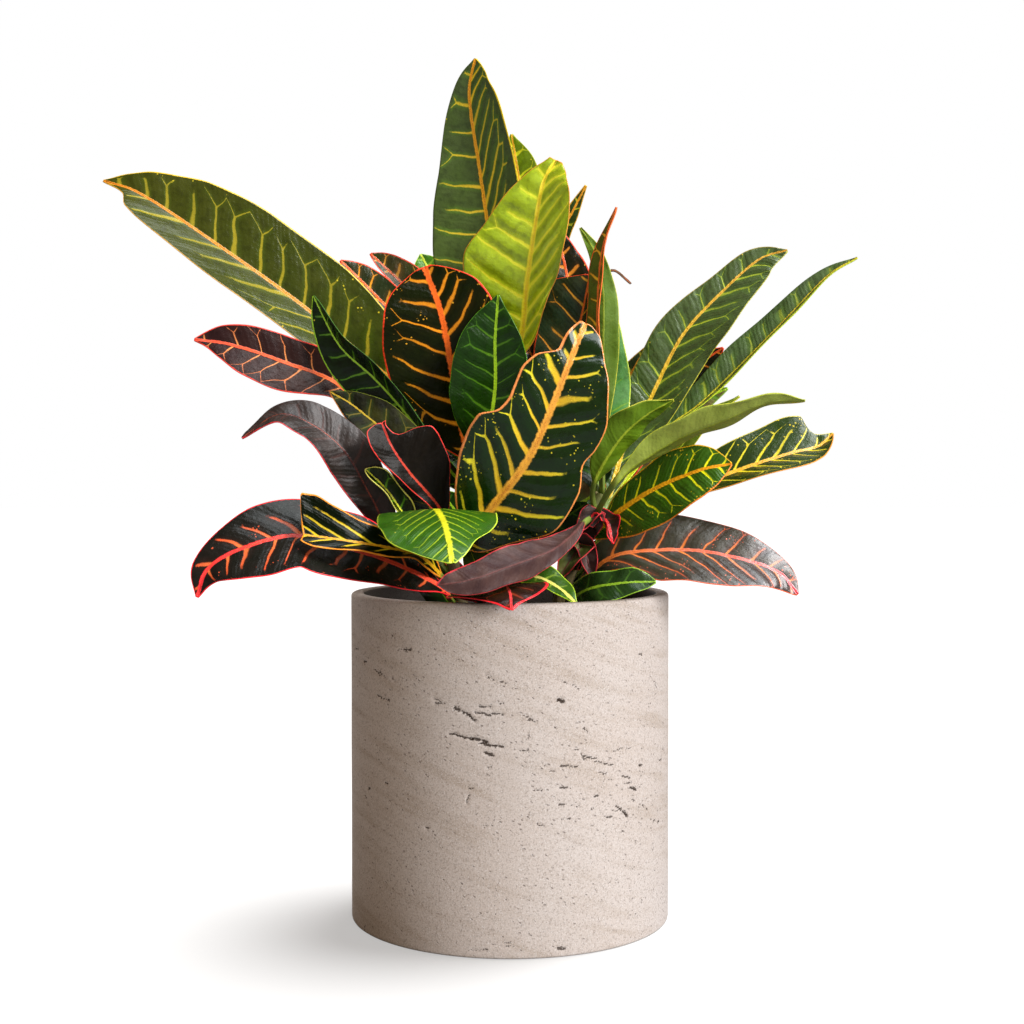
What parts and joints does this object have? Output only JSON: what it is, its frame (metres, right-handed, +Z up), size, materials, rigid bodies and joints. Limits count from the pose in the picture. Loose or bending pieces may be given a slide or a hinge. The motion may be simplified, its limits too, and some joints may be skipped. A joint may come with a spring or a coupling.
{
  "type": "potted croton",
  "caption": "Potted croton houseplant: a bushy crown of folded, coloured, veined leaves on woody stems, in a straight round stone-like pot filled with soil.",
  "frame": {"origin": "centre of the pot's flat foot, on the surface that it stands on", "axes": "+Z up along the pot's axis, -Y towards the front that the picture shows, +X to that view's right"},
  "size_m": [0.4759, 0.3482, 0.5433],
  "materials": {
    "pot": "washed, pitted, matt, like pale stone",
    "soil": "moist potting soil with bark and fibres, matt",
    "stem": "green-brown young bark with leaf scars, satin",
    "leaf_deep": "living leaf, deep green with yellow veins, glossy",
    "leaf_gold": "living leaf, black-green with golden veins, glossy",
    "leaf_ember": "living leaf, black-green with orange-red veins and margin, glossy",
    "leaf_sage": "living leaf, dull olive green with orange-yellow veins, satin",
    "leaf_lime": "living leaf, yellow-green with a broad yellow midrib, glossy",
    "leaf_green": "living leaf, mid green, glossy",
    "leaf_leafgreen": "living leaf, fresh green, satin",
    "leaf_maroon": "living leaf, maroon brown with red veins, satin",
    "leaf_crimson": "living leaf, near black with crimson veins and margin, glossy",
    "leaf_olive": "underside of a living leaf, light olive, matt",
    "leaf_dusk": "underside of a living leaf, greyish mauve, matt",
    "leaf_withered": "withered leaf, brown, matt"
  },
  "bodies": {
    "root": {"leaf_arching_maroon": "leaf_maroon", "leaf_back_high_left": "leaf_deep", "leaf_back_high_right": "leaf_gold", "leaf_back_left": "leaf_sage", "leaf_back_low": "leaf_crimson", "leaf_back_low_left": "leaf_maroon", "leaf_back_low_right": "leaf_gold", "leaf_back_middle": "leaf_ember", "leaf_back_right": "leaf_deep", "leaf_big_left": "leaf_sage", "leaf_black_orange": "leaf_ember", "leaf_broad_right": "leaf_deep", "leaf_drooped": "leaf_dusk", "leaf_dull_right": "leaf_green", "leaf_dusky_front": "leaf_dusk", "leaf_edge_on": "leaf_ember", "leaf_ember_left": "leaf_ember", "leaf_ember_middle": "leaf_ember", "leaf_ember_right": "leaf_ember", "leaf_far_right": "leaf_gold", "leaf_folded_gold": "leaf_gold", "leaf_front_gold": "leaf_gold", "leaf_glossy_right": "leaf_green", "leaf_green_front": "leaf_green", "leaf_green_middle": "leaf_leafgreen", "leaf_hidden_right": "leaf_deep", "leaf_lime_front": "leaf_lime", "leaf_long_olive": "leaf_olive", "leaf_low_left": "leaf_crimson", "leaf_low_right": "leaf_crimson", "leaf_maroon_left": "leaf_maroon", "leaf_mid_right": "leaf_gold", "leaf_narrow_left": "leaf_green", "leaf_narrow_right": "leaf_deep", "leaf_notched_maroon": "leaf_maroon", "leaf_olive_left": "leaf_olive", "leaf_olive_tip": "leaf_olive", "leaf_over_rim": "leaf_crimson", "leaf_red_margin": "leaf_ember", "leaf_rim_dark": "leaf_green", "leaf_rim_green": "leaf_leafgreen", "leaf_round_ember": "leaf_ember", "leaf_shaded_front": "leaf_deep", "leaf_shaded_left": "leaf_green", "leaf_short_olive": "leaf_olive", "leaf_side_low_left": "leaf_crimson", "leaf_side_low_right": "leaf_maroon", "leaf_small_curled": "leaf_green", "leaf_small_dark": "leaf_deep", "leaf_top_behind": "leaf_sage", "leaf_top_lime": "leaf_lime", "leaf_top_tall": "leaf_deep", "leaf_upright_olive": "leaf_olive", "leaf_withered_tip": "leaf_withered", "pot": "pot", "soil": "soil", "stem_back": "stem", "stem_left": "stem", "stem_main": "stem", "stem_right": "stem"}
  },
  "joints": []
}
